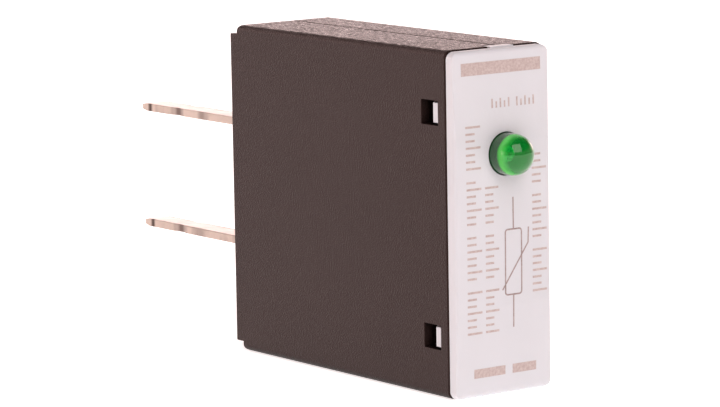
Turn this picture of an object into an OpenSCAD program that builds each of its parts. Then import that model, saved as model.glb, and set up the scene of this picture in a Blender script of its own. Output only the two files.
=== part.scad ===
// Plug-in varistor suppressor module with an indicator LED.
// Frame: origin at the centre of the case's bottom face, +Z up, the white cover faces -Y,
// the contact blades point along +Y, and X runs across the narrow case.

/* [Case] */
// Width of the closed case across both shells
case_w = 14.4; // [14:0.1:24]
// Depth of the case from its open front edge to its rear face, without the seat pad
case_d = 42.8; // [40:0.1:60]
// Height of the case
case_h = 41.5; // [38:0.1:60]
// Thickness of the side, top and bottom walls
wall = 1.2; // [1:0.05:1.8]
// Thickness of the rear wall in front of the seat pad
rear_wall = 1.2; // [0.8:0.1:3]
// How far the seat pad stands out of the rear face
pad_t = 1.4; // [0.6:0.1:3]
// Step from the top and bottom faces to the seat pad
pad_step = 1.15; // [0.8:0.05:3]
// Rounding of the long outer edges
edge_r = 0.75; // [0.3:0.05:1.1]
// Rounding of the top and bottom rear corners
rear_r = 0.7; // [0.3:0.05:1.1]
// Offset of the parting plane from the middle of the case
split_x = 1.1; // [0:0.1:1.5]
// Bevel on both sides of the seam between the shells
seam_bevel = 0.2; // [0.05:0.05:0.3]
// Bevel round the case's front rim, behind the cover
rim_bevel = 0.25; // [0.05:0.05:0.4]

/* [Front cover] */
// How far the cover stands out of the case at its top and bottom ends
cover_t = 1.25; // [1:0.05:2.5]
// Step from the case's top face down to the cover's top edge
cover_drop = 0.15; // [0.05:0.05:0.3]
// Extra thickness of the cover in the middle of its crowned face
crown = 0.35; // [0.1:0.05:0.6]
// Corner radius of the cover seen from the front
cover_r = 1.0; // [0.6:0.1:2]
// Rounding of the cover's front edges
cover_edge_r = 0.6; // [0.2:0.05:0.9]
// Depth of the skirt that plugs into the case
skirt_d = 1.0; // [0.6:0.1:1.2]
// Thickness of the skirt
skirt_t = 0.9; // [0.6:0.1:1.2]
// Width of the tab that keys the cover to both shells
tab_w = 3.5; // [2:0.1:5]
// Depth of the tab into its notch in the case
tab_d = 1.1; // [0.6:0.1:1.2]

/* [Latches] */
// Distance from the case's top face to the upper latch window's centre
latch_top = 7.5; // [6:0.1:8]
// Distance from the case's bottom face to the lower latch window's centre
latch_bottom = 7.2; // [6:0.1:8]
// Distance from the case's front edge to the window
win_y = 1.55; // [1.4:0.05:2.5]
// Length of the window along the case
win_l = 3.2; // [2.6:0.1:4]
// Height of the window
win_h = 2.95; // [2.4:0.05:4]
// Length of the lug's flat outer face
lug_l = 1.15; // [0.5:0.05:1.3]
// How deep the lug's face lies below the case's side
lug_recess = 0.25; // [0.1:0.05:0.5]
// Thickness of the latch arm
arm_t = 1.0; // [0.8:0.05:1.2]

/* [Indicator] */
// Diameter of the LED's body
led_d = 5.0; // [3:0.1:5.2]
// Distance of the LED's axis from the middle of the case
led_x = 0.5; // [-0.5:0.1:0.8]
// Distance from the case's top face to the LED's axis
led_top = 12.65; // [12:0.05:17]
// Distance from the case's front edge forward to the LED's tip
led_reach = 5.45; // [4.4:0.05:6.2]
// Length of the LED's body from its tip to its base
led_l = 8.65; // [8.4:0.05:9]
// Thickness of the LED's flange
led_flange_t = 1.0; // [0.8:0.1:1.2]
// How far the flange stands out all round
led_flange_w = 0.4; // [0.3:0.05:0.5]
// Distance between the LED's leads
led_pitch = 2.54; // [2:0.01:2.54]

/* [Contact blades] */
// Width of a blade
blade_w = 3.3; // [2.4:0.1:4]
// Thickness of a blade
blade_t = 1.0; // [0.6:0.05:1.2]
// Length of a blade outside the seat pad
blade_l = 29.4; // [18:0.1:36]
// Height of the lower blade
blade_low_z = 12.5; // [11.5:0.1:13.5]
// Distance between the two blades
blade_pitch = 15.5; // [14:0.1:17]
// Length of the tapered lead-in at the tip
lead_in = 1.2; // [0.8:0.1:3]
// Distance from the tip to the middle of the catch notch
notch_from_tip = 8.4; // [6:0.1:12]
// Depth of the catch notch in each edge
notch_depth = 0.3; // [0.1:0.05:0.5]

/* [Circuit board] */
// Thickness of the board
board_t = 1.6; // [1:0.1:1.8]
// Room between the board and the right shell for the solder joints
solder_room = 1.0; // [0.9:0.1:1.2]
// Distance from the case's front edge to the board
board_front = 6.2; // [6:0.1:6.8]
// Gap between the board and the case at its top, bottom and rear
board_gap = 0.4; // [0.3:0.1:0.6]

/* [Components] */
// Diameter of the varistor's coated disc
varistor_d = 15.5; // [9:0.1:16]
// Thickness of the varistor's coated disc
varistor_t = 4.4; // [2.8:0.1:4.6]
// Diameter of the varistor's leads
varistor_wire = 0.8; // [0.5:0.05:0.9]
// Distance between the varistor's leads
varistor_pitch = 7.5; // [5:0.1:8]
// Diameter of the resistor's body
resistor_d = 3.0; // [1.8:0.1:3.2]
// Length of the resistor's body
resistor_l = 9.0; // [6:0.1:10]
// Diameter of the resistor's leads
resistor_wire = 0.6; // [0.4:0.05:0.8]
// Distance between the resistor's lead holes
resistor_pitch = 14.0; // [12.8:0.1:15]
// Diameter of the diode's body
diode_d = 2.7; // [1.8:0.1:2.8]
// Length of the diode's body
diode_l = 5.2; // [4:0.1:5.6]
// Diameter of the diode's leads
diode_wire = 0.8; // [0.5:0.05:0.8]
// Distance between the diode's lead holes
diode_pitch = 10.2; // [8.6:0.1:12]

/* [Hidden] */

$fn = 64;
over = 1;              // how far a cutting solid runs past what it cuts
gap = 0.1;             // clearance between pieces that fit each other
hair = 0.02;           // clearance round a lead that is held all the way

// Case planes
side_x = case_w / 2;
inner_x = side_x - wall;
cover_h = case_h - cover_drop;
front_y = -case_d / 2;
rear_y = case_d / 2;
seat_y = rear_y + pad_t;
inner_y = rear_y - rear_wall;
cavity_r = 0.5;         // rounding of the hollow's long corners
crown_steps = 24;       // flats that make up the crowned face

// Latches
latch_z = [latch_bottom, case_h - latch_top];
arm_play = 0.55;        // how much lower an arm is than its window
arm_h = win_h - arm_play;
pocket_room = 0.9;     // room for the arm to spring inwards
pocket_t = 0.7;        // wall of the pocket behind a window
pocket_gap = 0.3;      // room between a pocket and the cover's skirt, and behind the window
pocket_y = front_y + skirt_d + pocket_gap;
pocket_end_y = front_y + win_y + win_l + pocket_gap;
pocket_x = inner_x - gap - arm_t - pocket_room;

// Indicator
led_z = case_h - led_top;
led_r = led_d / 2;
led_tip_y = front_y - led_reach;
led_base_y = led_tip_y + led_l;
flange_y = led_base_y - led_flange_t;
flange_r = led_r + led_flange_w;
collar_t = 0.9;                        // wall of the cover's collar round the LED
led_wire = 0.5;
led_corner_r = led_wire * 0.75;        // a little more than half the square lead's diagonal
led_hole_r = led_corner_r + gap;       // the board's holes for the square leads

// Board, standing on edge beside the right shell
board_x1 = inner_x - solder_room;
board_x0 = board_x1 - board_t;
board_y0 = front_y + board_front;
board_y1 = inner_y - board_gap;
board_z0 = wall + board_gap;
board_z1 = case_h - wall - board_gap;
trim = 0.55;                       // how far trimmed leads stand out behind the board
wire_end_x = board_x1 + trim;

// Blades and the seats that hold their shoulders
blade_z = [blade_low_z, blade_low_z + blade_pitch];
shoulder_l = 5.0;
shoulder_gap = 1.8;                // room between a shoulder and the left wall
shoulder_x = inner_x - shoulder_gap;
shoulder_end_x = board_x0 - gap;
seat_grip = 1.0;                   // how far a seat reaches over a shoulder
seat_wall = 1.1;
ear_l = 2.0;
ear_y = inner_y - shoulder_l / 2;
ear_end_x = wire_end_x;
tip_inset = 0.15;                  // narrowing of each edge at the tip
tip_bevel = 0.18;                  // bevel of each face at the tip
notch_l = 3.0;
notch_r = (notch_l * notch_l / 4 + notch_depth * notch_depth) / (2 * notch_depth);

// Posts that clamp the board between the shells
pin_r = 0.8;
post_r = 2.1;
pin_bite = 0.5;                    // how far a pin enters the right shell's wall
post_in = post_r + 0.8;            // from an inner wall to a post's axis
post_gap = 0.4;                    // room between a post and a blade's seat
post_rear_y = inner_y - shoulder_l - gap - seat_wall - post_gap - post_r;
posts = [for (y = [board_y0 + post_in, post_rear_y], z = [wall + post_in, case_h - wall - post_in]) [y, z]];

// Tongue and groove along the parting plane
tongue_h = 0.5;
tongue_t = wall / 3;
tongue_in = 3.5;                   // from the case's front and rear to the ends of the long tongues
tongue_end = 1.2;                  // from a blade or the pad's edge to a short tongue

// Places of the components on the board
stand_off = 0.3;                   // air between a body and the board
varistor_z = blade_low_z + blade_pitch / 2;
varistor_reach = 2.2;              // from the varistor's edge to its lead holes
varistor_room = 5.5;               // from the varistor's edge to the blades' shoulders
varistor_y = inner_y - shoulder_l - varistor_room - varistor_d / 2;
varistor_x = board_x0 - stand_off - varistor_t / 2;
varistor_hole_y = varistor_y + varistor_d / 2 + varistor_reach;
led_in = 2.4;                      // from the board's front edge to the LED's lead holes
resistor_in = 3.8;                 // from the board's front edge to the resistor
resistor_drop = 3.2;               // from the LED's lower lead down to the resistor's upper one
resistor_y = board_y0 + resistor_in;
resistor_z = led_z - led_pitch / 2 - resistor_drop - resistor_pitch / 2;
resistor_x = board_x0 - stand_off - resistor_d / 2;
diode_rise = 1.2;                  // from the lower posts' axes up to the diode
diode_y = varistor_y;
diode_z = wall + post_in + diode_rise;
diode_x = board_x0 - stand_off - diode_d / 2;
led_hole_y = board_y0 + led_in;
led_lead_z = [led_z - led_pitch / 2, led_z + led_pitch / 2];

// Every round lead as [y, z, radius] where it crosses the board
round_leads = [
    for (s = [-1, 1]) [varistor_hole_y, varistor_z + s * varistor_pitch / 2, varistor_wire / 2],
    for (s = [-1, 1]) [resistor_y, resistor_z + s * resistor_pitch / 2, resistor_wire / 2],
    for (s = [-1, 1]) [diode_y + s * diode_pitch / 2, diode_z, diode_wire / 2]];

// ---- shared shapes ----

// Rectangle with round corners, centred at the origin
module round_rect(w, h, r) {
    square([w, h - 2 * r], center = true);
    square([w - 2 * r, h], center = true);
    for (x = [-1, 1], y = [-1, 1]) translate([x * (w / 2 - r), y * (h / 2 - r)]) circle(r);
}

// Box between two opposite corners
module block(a, b) {
    translate([min(a.x, b.x), min(a.y, b.y), min(a.z, b.z)])
        cube([abs(b.x - a.x), abs(b.y - a.y), abs(b.z - a.z)]);
}

// Cylinder along +X from x0 to x1 about the axis at y, z
module rod_x(x0, x1, y, z, r) translate([x0, y, z]) rotate([0, 90, 0]) cylinder(r = r, h = x1 - x0);

// Cylinder along +Y from y0 to y1 about the axis at x, z
module rod_y(y0, y1, x, z, r) translate([x, y1, z]) rotate([90, 0, 0]) cylinder(r = r, h = y1 - y0);

// Cylinder along +Z from z0 to z1 about the axis at x, y
module rod_z(z0, z1, x, y, r) translate([x, y, z0]) cylinder(r = r, h = z1 - z0);

// ---- case ----

module case_outside() {
    intersection() {
        translate([0, rear_y, case_h / 2]) rotate([90, 0, 0])
            linear_extrude(case_d) round_rect(case_w, case_h, edge_r);
        translate([-side_x, 0, case_h / 2]) rotate([90, 0, 90])
            linear_extrude(case_w) translate([-over / 2, 0]) round_rect(case_d + over, case_h, rear_r);
    }
    block([-side_x, rear_y - rear_wall, pad_step], [side_x, seat_y, case_h - pad_step]);
}

module case_cavity() {
    translate([0, inner_y, case_h / 2]) rotate([90, 0, 0])
        linear_extrude(case_d) round_rect(2 * inner_x, case_h - 2 * wall, cavity_r);
}

// V groove where the shells meet, along the top, the bottom and the seat pad
module seam_groove() {
    v = seam_bevel;
    half = [[-v, 0], [0, -v], [v, 0], [v, over], [-v, over]];
    for (side = [0, 1]) translate([split_x, 0, side * case_h]) rotate([90, side ? 0 : 180, 0])
        linear_extrude(2 * case_d, center = true) polygon(half);
    translate([split_x, seat_y, 0]) linear_extrude(case_h) polygon(half);
}

// Wedges that bevel the front rim along the top, the bottom and both sides
module rim_wedges() {
    wedge = [[-over, -rim_bevel - over], [rim_bevel + over, over], [-over, over]];
    for (side = [-1, 1]) {
        translate([-case_w, front_y, (side + 1) / 2 * case_h]) rotate([90, 0, 90])
            linear_extrude(2 * case_w) polygon([for (p = wedge) [p.x, side * p.y]]);
        translate([side * side_x, front_y, -over])
            linear_extrude(case_h + 2 * over) polygon([for (p = wedge) [side * p.y, p.x]]);
    }
}

module case_walls() {
    difference() {
        case_outside();
        case_cavity();
        seam_groove();
        rim_wedges();
        for (z = blade_z) block([-blade_w / 2 - gap, inner_y - over, z - blade_t / 2 - gap],
                                [blade_w / 2 + gap, seat_y + over, z + blade_t / 2 + gap]);
        for (z = [-over, case_h - wall - gap])
            block([split_x - tab_w / 2 - gap, front_y - over, z],
                  [split_x + tab_w / 2 + gap, front_y + tab_d + gap, z + wall + gap + over]);
    }
}

// Strips along the parting plane: the left shell's tongue, or the right shell's groove when wider
module parting_strips(extra) {
    t = tongue_t / 2 + extra;
    for (z = [wall / 2, case_h - wall / 2])
        block([split_x - over, front_y + tongue_in - extra, z - t],
              [split_x + tongue_h + extra, rear_y - tongue_in + extra, z + t]);
    rear_mid_y = (inner_y + seat_y) / 2;
    clear_z = blade_t / 2 + tongue_end;
    ends = [[pad_step + tongue_end, blade_z[0] - clear_z], [blade_z[0] + clear_z, blade_z[1] - clear_z],
            [blade_z[1] + clear_z, case_h - pad_step - tongue_end]];
    for (e = ends) block([split_x - over, rear_mid_y - t, e[0] - extra],
                         [split_x + tongue_h + extra, rear_mid_y + t, e[1] + extra]);
}

// Pocket behind the latch window on side s (-1 left, +1 right)
module latch_pocket(s, z) {
    difference() {
        block([s * (inner_x + wall / 2), pocket_y, z - win_h / 2 - pocket_t],
              [s * (pocket_x - pocket_t), pocket_end_y + pocket_t, z + win_h / 2 + pocket_t]);
        block([s * (inner_x + over), pocket_y - over, z - win_h / 2],
              [s * pocket_x, pocket_end_y, z + win_h / 2]);
    }
}

module latch_window(s, z) {
    block([s * (inner_x - over / 4), front_y + win_y, z - win_h / 2],
          [s * (side_x + over), front_y + win_y + win_l, z + win_h / 2]);
}

// Seat on the left shell that traps a blade's shoulder against the rear wall
module blade_seat(z) {
    difference() {
        block([-inner_x - wall / 2, inner_y - shoulder_l - gap - seat_wall, z - blade_t / 2 - gap - seat_wall],
              [-shoulder_x + seat_grip, inner_y + rear_wall / 2, z + blade_t / 2 + gap + seat_wall]);
        block([-shoulder_x - gap, inner_y - shoulder_l - gap, z - blade_t / 2 - gap],
              [shoulder_x, inner_y, z + blade_t / 2 + gap]);
    }
}

module left_shell() {
    color([0.17, 0.14, 0.13]) difference() {
        union() {
            intersection() {
                case_walls();
                block([-side_x - over, front_y - over, -over], [split_x, seat_y + over, case_h + over]);
            }
            for (z = latch_z) latch_pocket(-1, z);
            for (z = blade_z) blade_seat(z);
            for (p = posts) {
                rod_x(-inner_x - wall / 2, board_x0, p.x, p.y, post_r);
                rod_x(0, inner_x + pin_bite, p.x, p.y, pin_r);
            }
            parting_strips(0);
        }
        for (z = latch_z) latch_window(-1, z);
    }
}

module right_shell() {
    color([0.16, 0.13, 0.12]) difference() {
        union() {
            intersection() {
                case_walls();
                block([split_x, front_y - over, -over], [side_x + over, seat_y + over, case_h + over]);
            }
            for (z = latch_z) latch_pocket(1, z);
            for (p = posts) rod_x(board_x1, inner_x + wall / 2, p.x, p.y, post_r);
        }
        for (z = latch_z) latch_window(1, z);
        for (p = posts) rod_x(board_x1 - over, inner_x + pin_bite + gap, p.x, p.y, pin_r + gap / 2);
        parting_strips(gap);
    }
}

// ---- front cover ----

// The crowned face stands out as a parabola between the roundings of its two ends
function crown_y(u) = front_y - cover_t - crown * (1 - pow(2 * u - 1, 2));

// The cover from the side: a plate with rounded front corners and the crown in front of it
module cover_profile() {
    span = cover_h - 2 * cover_edge_r;
    translate([front_y - cover_t + case_d / 2, cover_h / 2]) round_rect(case_d, cover_h, cover_edge_r);
    polygon([
        [0, cover_edge_r], [0, cover_h - cover_edge_r],
        for (i = [crown_steps:-1:0]) [crown_y(i / crown_steps), cover_edge_r + span * i / crown_steps]]);
}

module cover_plate() {
    front = cover_t + crown;
    intersection() {
        translate([0, front_y - gap, cover_h / 2]) rotate([90, 0, 0])
            linear_extrude(front) round_rect(case_w, cover_h, cover_r);
        translate([-side_x - over, 0, 0]) rotate([90, 0, 90]) linear_extrude(case_w + 2 * over) cover_profile();
        // rounded along both long front edges
        translate([0, front_y - front + case_d / 2, 0])
            linear_extrude(cover_h) round_rect(case_w, case_d, cover_edge_r);
    }
}

module latch_arm(s, z) {
    root_x = inner_x - gap;
    tip_x = side_x - lug_recess;
    lug_y = front_y + win_y + gap / 2;
    ramp = tip_x - root_x;
    translate([0, 0, z - arm_h / 2]) linear_extrude(arm_h) polygon([
        [s * root_x, front_y - gap], [s * root_x, lug_y], [s * tip_x, lug_y], [s * tip_x, lug_y + lug_l],
        [s * root_x, lug_y + lug_l + ramp], [s * (root_x - arm_t), lug_y + lug_l + ramp],
        [s * (root_x - arm_t), front_y - gap]]);
}

module front_cover() {
    color([0.93, 0.9, 0.9]) difference() {
        union() {
            cover_plate();
            // skirt inside the case
            translate([0, front_y + skirt_d, case_h / 2]) rotate([90, 0, 0])
                linear_extrude(skirt_d + 2 * gap) difference() {
                    round_rect(2 * (inner_x - gap), case_h - 2 * (wall + gap), cavity_r);
                    round_rect(2 * (inner_x - gap - skirt_t), case_h - 2 * (wall + gap + skirt_t), cavity_r / 2);
                }
            for (s = [-1, 1], z = latch_z) latch_arm(s, z);
            // keys in the notches of the top and bottom walls
            for (z = [0, case_h - wall])
                block([split_x - tab_w / 2, front_y - 2 * gap, z], [split_x + tab_w / 2, front_y + tab_d, z + wall]);
            rod_y(front_y - 2 * gap, flange_y - hair, led_x, led_z, flange_r + collar_t);
        }
        rod_y(front_y - cover_t - crown - over, flange_y + over, led_x, led_z, led_r + gap);
    }
}

// ---- indicator ----

module led_lens() {
    color([0.16, 0.72, 0.3, 0.8]) difference() {
        union() {
            translate([led_x, led_tip_y + led_r, led_z]) sphere(led_r);
            rod_y(led_tip_y + led_r, led_base_y, led_x, led_z, led_r);
            difference() {
                rod_y(flange_y, led_base_y, led_x, led_z, flange_r);
                // flat beside the cathode lead
                block([led_x - flange_r - over, flange_y - over, led_z - led_r - over - led_flange_w],
                      [led_x + flange_r + over, led_base_y + over, led_z - led_r - led_flange_w / 2]);
            }
        }
        anode_shape(hair);
        cathode_shape(hair);
        chip_shape(hair);
    }
}

dome_to_cup = 0.8;
led_frame_y = led_tip_y + led_r + dome_to_cup;   // top of the cup inside the lens
cup_r = 0.75;
cup_wall = 0.25;
cup_depth = 0.45;
cup_h = 1.0;
post_tip = 0.1;        // the anode's post starts this far below the cup's top
neck_end = 1.4;        // the wide ends of both leads end this far below the cup's top
chip_s = 0.35;

module led_wire_shape(z, grow) {
    h = led_wire / 2 + grow;
    block([led_x - h, led_frame_y + cup_h - grow, z - h], [led_x + h, led_hole_y + h, z + h]);
    block([led_x - h, led_hole_y - h, z - h], [wire_end_x + grow, led_hole_y + h, z + h]);
}

module anode_shape(grow) {
    h = led_wire / 2 + grow;
    led_wire_shape(led_lead_z[1], grow);
    block([led_x - h, led_frame_y + post_tip - grow, led_z + cup_r + cup_wall - grow],
          [led_x + h, led_frame_y + neck_end + grow, led_lead_z[1] + h]);
}

module cathode_shape(grow) {
    h = led_wire / 2 + grow;
    led_wire_shape(led_lead_z[0], grow);
    block([led_x - h, led_frame_y + cup_depth + cup_wall - grow, led_lead_z[0] - h],
          [led_x + h, led_frame_y + neck_end + grow, led_z + h]);
    difference() {
        rod_y(led_frame_y - grow, led_frame_y + cup_h + grow, led_x, led_z, cup_r + grow);
        if (grow == 0) rod_y(led_frame_y - over, led_frame_y + cup_depth, led_x, led_z, cup_r - cup_wall);
    }
}

module chip_shape(grow) {
    h = chip_s / 2 + grow;
    block([led_x - h, led_frame_y + cup_depth - chip_s - grow, led_z - h],
          [led_x + h, led_frame_y + cup_depth, led_z + h]);
}

module led_anode_lead() color([0.75, 0.75, 0.74]) anode_shape(0);

module led_cathode_lead() color([0.75, 0.75, 0.74]) cathode_shape(0);

module led_chip() color([0.85, 0.8, 0.35]) chip_shape(0);

// ---- contact blades ----

module blade(z) {
    tip_y = seat_y + blade_l;
    tip_w = blade_w - 2 * tip_inset;
    tip_t = blade_t - 2 * tip_bevel;
    translate([0, 0, z]) intersection() {
        translate([0, 0, -blade_t / 2]) linear_extrude(blade_t) difference() {
            polygon([
                [-blade_w / 2, inner_y], [-shoulder_x, inner_y],
                [-shoulder_x, inner_y - shoulder_l], [shoulder_end_x, inner_y - shoulder_l],
                [shoulder_end_x, ear_y - ear_l / 2], [ear_end_x, ear_y - ear_l / 2],
                [ear_end_x, ear_y + ear_l / 2], [shoulder_end_x, ear_y + ear_l / 2],
                [shoulder_end_x, inner_y], [blade_w / 2, inner_y],
                [blade_w / 2, tip_y - lead_in], [tip_w / 2, tip_y],
                [-tip_w / 2, tip_y], [-blade_w / 2, tip_y - lead_in]]);
            for (s = [-1, 1]) translate([s * (blade_w / 2 + notch_r - notch_depth), tip_y - notch_from_tip])
                circle(notch_r, $fn = 128);
        }
        // lead-in coined thinner at the tip
        translate([-side_x, 0, 0]) rotate([90, 0, 90]) linear_extrude(case_w) polygon([
            [inner_y - shoulder_l - over, -blade_t / 2], [tip_y - lead_in, -blade_t / 2], [tip_y, -tip_t / 2],
            [tip_y, tip_t / 2], [tip_y - lead_in, blade_t / 2], [inner_y - shoulder_l - over, blade_t / 2]]);
    }
}

module upper_blade() color([0.83, 0.78, 0.72]) blade(blade_z[1]);

module lower_blade() color([0.83, 0.78, 0.72]) blade(blade_z[0]);

// ---- circuit board ----

module circuit_board() {
    color([0.1, 0.38, 0.22]) difference() {
        block([board_x0, board_y0, board_z0], [board_x1, board_y1, board_z1]);
        for (p = posts) rod_x(board_x0 - over, board_x1 + over, p.x, p.y, pin_r + gap);
        for (w = round_leads) rod_x(board_x0 - over, board_x1 + over, w[0], w[1], w[2] + gap);
        for (z = led_lead_z) rod_x(board_x0 - over, board_x1 + over, led_hole_y, z, led_hole_r);
        for (z = blade_z) block([board_x0 - over, ear_y - ear_l / 2 - gap, z - blade_t / 2 - gap],
                                [board_x1 + over, ear_y + ear_l / 2 + gap, z + blade_t / 2 + gap]);
    }
}

track_t = 0.07;
track_w = 1.2;
pad_w = 0.8;                              // copper left round a blade's ear
bridge_z = led_lead_z[1] + 2 * track_w;   // height of the track that runs over the LED's pads

// Straight copper track between two points [y, z] on the solder side
module track(a, b) {
    w = track_w / 2;
    block([board_x1, min(a.x, b.x) - w, min(a.y, b.y) - w], [board_x1 + track_t, max(a.x, b.x) + w, max(a.y, b.y) + w]);
}

// Track that turns once, first along Y and then along Z
module track_l(a, b) {
    track(a, [b.x, a.y]);
    track([b.x, a.y], b);
}

module copper_tracks() {
    color([0.78, 0.5, 0.3]) difference() {
        union() {
            for (i = [0, 1]) track_l([ear_y, blade_z[i]], [round_leads[i].x, round_leads[i].y]);
            for (z = blade_z)
                block([board_x1, ear_y - ear_l / 2 - pad_w, z - blade_t / 2 - pad_w],
                      [board_x1 + track_t, ear_y + ear_l / 2 + pad_w, z + blade_t / 2 + pad_w]);
            // the LED's branch: upper blade, LED, resistor, diode, lower blade
            track([ear_y, blade_z[1]], [ear_y, bridge_z]);
            track_l([ear_y, bridge_z], [led_hole_y, led_lead_z[1]]);
            track_l([round_leads[3].x, round_leads[3].y], [led_hole_y, led_lead_z[0]]);
            track_l([round_leads[2].x, round_leads[2].y], [round_leads[4].x, round_leads[4].y]);
            track_l([ear_y, blade_z[0]], [round_leads[5].x, round_leads[5].y]);
        }
        for (w = round_leads) rod_x(board_x1 - over, board_x1 + over, w[0], w[1], w[2] + gap);
        for (z = led_lead_z) rod_x(board_x1 - over, board_x1 + over, led_hole_y, z, led_hole_r);
        for (z = blade_z) block([board_x1 - over, ear_y - ear_l / 2 - gap, z - blade_t / 2 - gap],
                                [board_x1 + over, ear_y + ear_l / 2 + gap, z + blade_t / 2 + gap]);
    }
}

module solder_joints() {
    foot = board_x1 + track_t;
    rise = wire_end_x - foot - hair;
    spread = 0.55;     // how far a joint's foot reaches past its lead
    top = 0.12;        // solder left round the lead at the joint's top
    color([0.72, 0.73, 0.74]) {
        for (w = round_leads) difference() {
            translate([foot, w[0], w[1]]) rotate([0, 90, 0]) cylinder(r1 = w[2] + spread, r2 = w[2] + top, h = rise);
            rod_x(foot - over, foot + rise + over, w[0], w[1], w[2] + hair);
        }
        for (z = led_lead_z) difference() {
            translate([foot, led_hole_y, z]) rotate([0, 90, 0])
                cylinder(r1 = led_corner_r + spread, r2 = led_corner_r + top, h = rise);
            block([foot - over, led_hole_y - led_wire / 2 - hair, z - led_wire / 2 - hair],
                  [foot + rise + over, led_hole_y + led_wire / 2 + hair, z + led_wire / 2 + hair]);
        }
        for (z = blade_z) difference() {
            block([foot, ear_y - ear_l / 2 - spread, z - blade_t / 2 - spread],
                  [foot + rise / 2, ear_y + ear_l / 2 + spread, z + blade_t / 2 + spread]);
            block([foot - over, ear_y - ear_l / 2 - hair, z - blade_t / 2 - hair],
                  [foot + rise + over, ear_y + ear_l / 2 + hair, z + blade_t / 2 + hair]);
        }
    }
}

// ---- components ----

module varistor_disc() {
    rim = 1.2;
    color([0.1, 0.25, 0.6]) translate([varistor_x, varistor_y, varistor_z]) rotate([0, 90, 0])
        rotate_extrude($fn = 96) intersection() {
            round_rect(varistor_d, varistor_t, rim);
            translate([0, -varistor_t]) square([varistor_d, 2 * varistor_t]);
        }
}

// Radial lead: along +Y from the disc's edge, then through the board
module varistor_lead(s) {
    r = varistor_wire / 2;
    z = varistor_z + s * varistor_pitch / 2;
    edge_y = varistor_y + sqrt(varistor_d * varistor_d / 4 - pow(varistor_pitch / 2 - r, 2));
    color([0.76, 0.76, 0.75]) {
        rod_y(edge_y, varistor_hole_y, varistor_x, z, r);
        translate([varistor_x, varistor_hole_y, z]) sphere(r);
        rod_x(varistor_x, wire_end_x, varistor_hole_y, z, r);
    }
}

module varistor_upper_lead() varistor_lead(1);

module varistor_lower_lead() varistor_lead(-1);

resistor_waist = 0.4;  // how much thinner the resistor is between its two end caps

module resistor_body() {
    cap_l = resistor_l / 4;
    color([0.78, 0.68, 0.5]) translate([resistor_x, resistor_y, resistor_z]) {
        cylinder(d = resistor_d - resistor_waist, h = resistor_l, center = true);
        for (s = [-1, 1])
            translate([0, 0, s * (resistor_l - cap_l) / 2]) cylinder(d = resistor_d, h = cap_l, center = true);
    }
}

module resistor_lead(s) {
    r = resistor_wire / 2;
    end_z = resistor_z + s * resistor_pitch / 2;
    body_z = resistor_z + s * resistor_l / 2;
    color([0.76, 0.76, 0.75]) {
        rod_z(min(body_z, end_z), max(body_z, end_z), resistor_x, resistor_y, r);
        translate([resistor_x, resistor_y, end_z]) sphere(r);
        rod_x(resistor_x, wire_end_x, resistor_y, end_z, r);
    }
}

module resistor_upper_lead() resistor_lead(1);

module resistor_lower_lead() resistor_lead(-1);

module diode_body() {
    color([0.12, 0.12, 0.12]) rod_y(diode_y - diode_l / 2, diode_y + diode_l / 2, diode_x, diode_z, diode_d / 2);
}

module diode_lead(s) {
    r = diode_wire / 2;
    end_y = diode_y + s * diode_pitch / 2;
    body_y = diode_y + s * diode_l / 2;
    color([0.76, 0.76, 0.75]) {
        rod_y(min(body_y, end_y), max(body_y, end_y), diode_x, diode_z, r);
        translate([diode_x, end_y, diode_z]) sphere(r);
        rod_x(diode_x, wire_end_x, end_y, diode_z, r);
    }
}

module diode_front_lead() diode_lead(-1);

module diode_rear_lead() diode_lead(1);

left_shell();
right_shell();
front_cover();
led_lens();
led_chip();
led_anode_lead();
led_cathode_lead();
upper_blade();
lower_blade();
circuit_board();
copper_tracks();
solder_joints();
varistor_disc();
varistor_upper_lead();
varistor_lower_lead();
resistor_body();
resistor_upper_lead();
resistor_lower_lead();
diode_body();
diode_front_lead();
diode_rear_lead();
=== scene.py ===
"""Looks of a plug-in varistor suppressor module: finishes, moulded detail, printed symbol and studio.

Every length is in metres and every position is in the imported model's own frame: the origin is the
centre of the case's bottom face, +Z is up, the white cover faces -Y and the contact blades point
along +Y.
"""

import logging
import math
from dataclasses import dataclass, field
from enum import Enum
from typing import Any

import bmesh
import bpy
import numpy as np
from mathutils import Matrix, Vector


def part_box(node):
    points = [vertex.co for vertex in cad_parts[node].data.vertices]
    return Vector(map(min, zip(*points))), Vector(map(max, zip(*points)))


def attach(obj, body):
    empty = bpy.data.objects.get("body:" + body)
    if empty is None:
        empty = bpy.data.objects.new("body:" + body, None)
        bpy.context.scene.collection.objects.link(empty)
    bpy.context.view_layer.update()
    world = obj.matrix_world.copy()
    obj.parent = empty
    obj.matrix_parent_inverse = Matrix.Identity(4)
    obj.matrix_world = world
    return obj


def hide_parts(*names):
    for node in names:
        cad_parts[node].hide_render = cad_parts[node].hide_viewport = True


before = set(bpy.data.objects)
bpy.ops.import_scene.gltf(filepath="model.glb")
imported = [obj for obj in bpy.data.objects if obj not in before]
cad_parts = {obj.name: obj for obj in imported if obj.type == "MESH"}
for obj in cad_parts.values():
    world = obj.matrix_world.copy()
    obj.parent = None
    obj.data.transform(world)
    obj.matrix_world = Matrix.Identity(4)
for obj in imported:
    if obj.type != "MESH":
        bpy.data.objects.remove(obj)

MM = 0.001
ROOT = "root"
log = logging.getLogger("module")

Colour = tuple[float, float, float]
Shape = tuple[np.ndarray, np.ndarray]
WARM_WHITE: Colour = (1.0, 0.88, 0.87)
EVEN: Colour = (1.0, 1.0, 1.0)


class Axis(Enum):
    """An axis of the frame, by its place in x, y, z."""

    X = 0
    Y = 1
    Z = 2


# ---------------------------------------------------------------- shader graphs


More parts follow.
